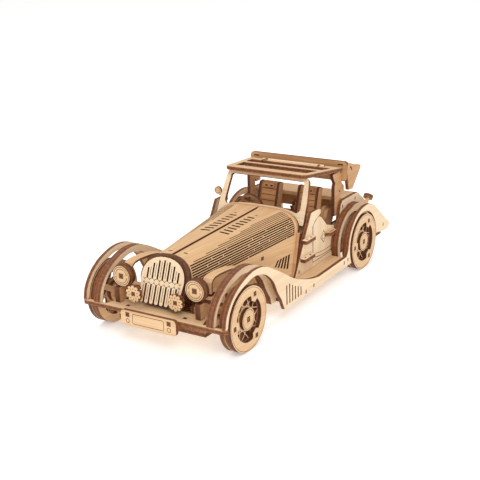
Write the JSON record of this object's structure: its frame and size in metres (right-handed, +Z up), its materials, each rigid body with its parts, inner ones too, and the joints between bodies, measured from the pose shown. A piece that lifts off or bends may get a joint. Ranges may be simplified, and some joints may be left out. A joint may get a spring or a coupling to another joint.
{
  "type": "wooden mechanical puzzle car",
  "caption": "Open classic roadster assembled from laser-cut plywood plates, with rolling and steering wheels, opening doors, a lifting roof frame and a tilting rear flap.",
  "frame": {"origin": "centre of the car's bounding box, on the plane the wheels stand on", "axes": "+Y towards the tail along the car's length, +X towards the car's left side, +Z up"},
  "size_m": [0.1258, 0.2794, 0.0933],
  "materials": {
    "birch_face": "bare laser-cut birch plywood face",
    "cream_face": "bare pale birch plywood face",
    "tan_face": "plywood with laser-toned edges",
    "seat_tan": "toned plywood with engraved pleats",
    "charred_edge": "laser-charred plywood edge"
  },
  "bodies": {
    "chassis": {"chassis_floor": "cream_face", "front_axle_beam": "birch_face", "bumper_shelf": "birch_face", "number_plate_carrier": "birch_face", "grille_arch": "charred_edge", "grille": "birch_face", "hood_spine": "charred_edge", "cowl_bulkhead": "charred_edge", "windscreen_frame": "cream_face", "dashboard": "birch_face", "rear_deck": "birch_face", "rear_crossbar": "birch_face", "mirror_right": "birch_face", "frame_rail_left": "birch_face", "side_plate_left": "cream_face", "front_fender_left": "tan_face", "rear_fender_left": "tan_face", "running_board_left": "birch_face", "headlight_left": "birch_face", "headlight_post_left": "charred_edge", "catwalk_left": "cream_face", "fog_lamp_left": "birch_face", "hood_left": "birch_face", "body_side_left": "cream_face", "seat_left": "seat_tan", "quarter_panel_left": "cream_face", "tail_lamp_left": "tan_face", "roof_leg_left": "tan_face", "frame_rail_right": "birch_face", "side_plate_right": "cream_face", "front_fender_right": "tan_face", "rear_fender_right": "tan_face", "running_board_right": "birch_face", "headlight_right": "birch_face", "headlight_post_right": "charred_edge", "catwalk_right": "cream_face", "fog_lamp_right": "birch_face", "hood_right": "birch_face", "body_side_right": "cream_face", "seat_right": "seat_tan", "quarter_panel_right": "cream_face", "tail_lamp_right": "tan_face", "roof_leg_right": "tan_face"},
    "rear_axle_set": {"rear_axle": "tan_face", "axle_gear": "tan_face", "wheel_rear_left": "birch_face", "wheel_rear_right": "birch_face"},
    "band_drum": {"drum_shaft": "tan_face", "drive_gear": "tan_face"},
    "knuckle_left": {"steering_knuckle_left": "birch_face"},
    "knuckle_right": {"steering_knuckle_right": "birch_face"},
    "front_wheel_left": {"wheel_front_left": "birch_face"},
    "front_wheel_right": {"wheel_front_right": "birch_face"},
    "track_rod": {"tie_rod": "tan_face"},
    "steering": {"steering_wheel": "tan_face", "steering_column": "birch_face"},
    "left_door": {"door_left": "cream_face"},
    "right_door": {"door_right": "cream_face"},
    "roof": {"roof_frame": "birch_face"},
    "flap": {"rear_flap": "tan_face"}
  },
  "joints": [
    {"name": "rear_axle_spin", "type": "hinge", "parent": "chassis", "child": "rear_axle_set", "pos_m": [0, 0.0833, 0.024], "axis": [1, 0, 0], "continuous": true},
    {"name": "drum_spin", "type": "hinge", "parent": "chassis", "child": "band_drum", "pos_m": [0, 0.0791, 0.04304], "axis": [1, 0, 0], "continuous": true},
    {"name": "steer_left", "type": "hinge", "parent": "chassis", "child": "knuckle_left", "pos_m": [0.05, -0.1064, 0.024], "axis": [0, 0, 1], "range_deg": [-6, 6]},
    {"name": "steer_right", "type": "hinge", "parent": "chassis", "child": "knuckle_right", "pos_m": [-0.05, -0.1064, 0.024], "axis": [0, 0, 1], "range_deg": [-6, 6]},
    {"name": "front_spin_left", "type": "hinge", "parent": "knuckle_left", "child": "front_wheel_left", "pos_m": [0.058, -0.1064, 0.024], "axis": [1, 0, 0], "continuous": true},
    {"name": "front_spin_right", "type": "hinge", "parent": "knuckle_right", "child": "front_wheel_right", "pos_m": [-0.058, -0.1064, 0.024], "axis": [1, 0, 0], "continuous": true},
    {"name": "tie_rod_slide", "type": "slide", "parent": "chassis", "child": "track_rod", "axis": [1, 0, 0], "range_m": [-0.00126, 0.00126]},
    {"name": "steering_wheel_turn", "type": "hinge", "parent": "chassis", "child": "steering", "pos_m": [-0.02, 0.0366, 0.059], "axis": [0, -0.9272, -0.3746], "range_deg": [-36, 36]},
    {"name": "door_left_swing", "type": "hinge", "parent": "chassis", "child": "left_door", "pos_m": [0.046, 0.0211, 0.04], "axis": [0, 0, -1], "range_deg": [0, 60]},
    {"name": "door_right_swing", "type": "hinge", "parent": "chassis", "child": "right_door", "pos_m": [-0.046, 0.0211, 0.04], "axis": [0, 0, 1], "range_deg": [0, 60]},
    {"name": "roof_lift", "type": "hinge", "parent": "chassis", "child": "roof", "pos_m": [0, 0.0763, 0.08532], "axis": [-1, 0, 0], "range_deg": [0, 75]},
    {"name": "flap_tilt", "type": "hinge", "parent": "chassis", "child": "flap", "pos_m": [0, 0.0858, 0.0685], "axis": [-1, 0, 0], "range_deg": [0, 38]}
  ],
  "couplings": [
    {"joint": "drum_spin", "follows": "rear_axle_spin", "ratio": -0.66667},
    {"joint": "steer_right", "follows": "steer_left", "ratio": 1},
    {"joint": "tie_rod_slide", "follows": "steer_left", "m_per_rad": -0.012},
    {"joint": "steering_wheel_turn", "follows": "steer_left", "ratio": -6}
  ]
}
